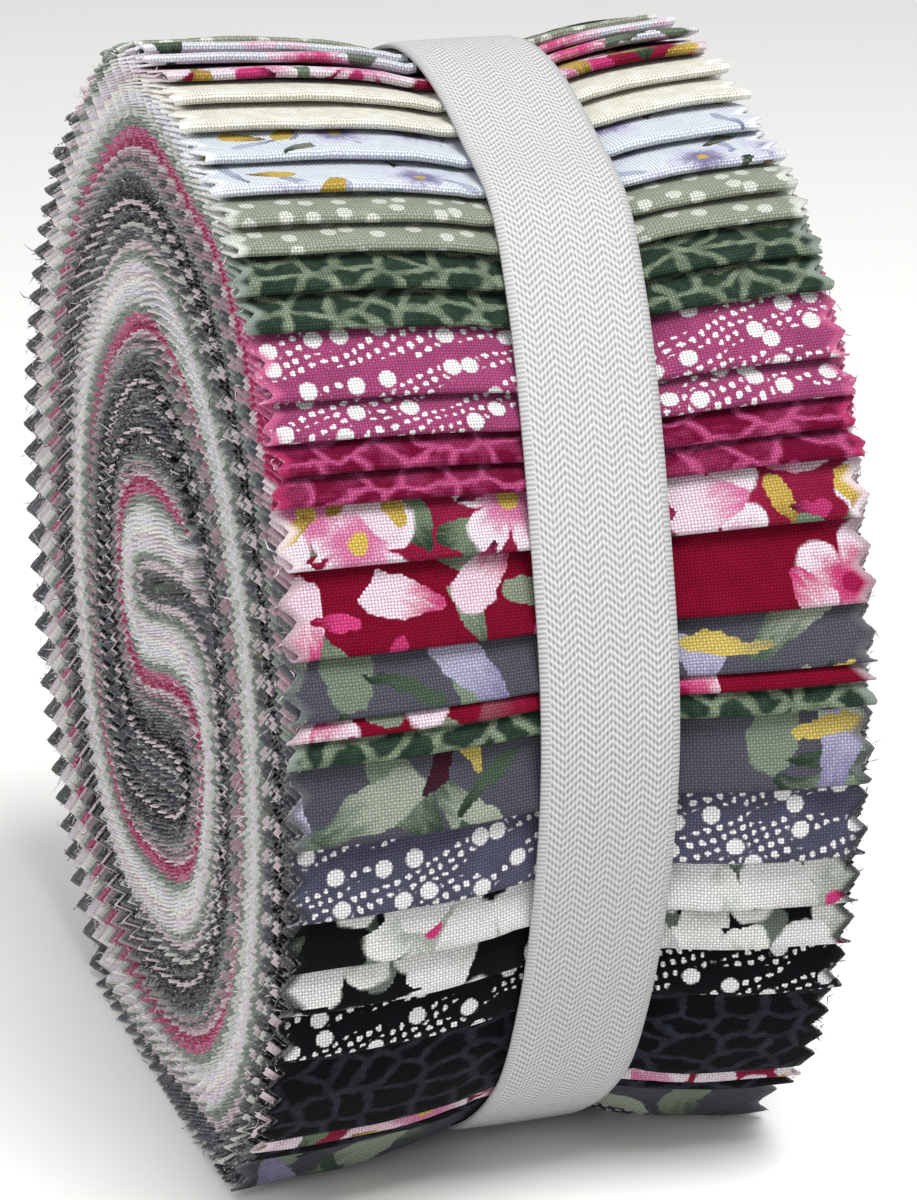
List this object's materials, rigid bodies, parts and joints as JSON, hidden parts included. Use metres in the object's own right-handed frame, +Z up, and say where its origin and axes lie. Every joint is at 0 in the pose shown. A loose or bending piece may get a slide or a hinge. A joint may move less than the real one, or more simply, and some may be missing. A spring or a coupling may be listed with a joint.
{
  "type": "roll of quilting fabric strips",
  "caption": "Round roll of folded cotton quilting strips with lapped ends, wound in a stack and bound round the middle with a woven tape.",
  "frame": {"origin": "middle of the bounding box in X and Y, on the plane that the roll rests on", "axes": "+X along the winding axis, across the strips; -Y is the front, where the folded ends lap downwards; +Z up"},
  "size_m": [0.0636, 0.119, 0.1213],
  "materials": {
    "cotton_prints": "plain-woven printed cotton, matte",
    "twill_tape": "herringbone-woven cotton, matte"
  },
  "bodies": {
    "root": {"roll": "cotton_prints", "tape": "twill_tape"}
  },
  "joints": []
}
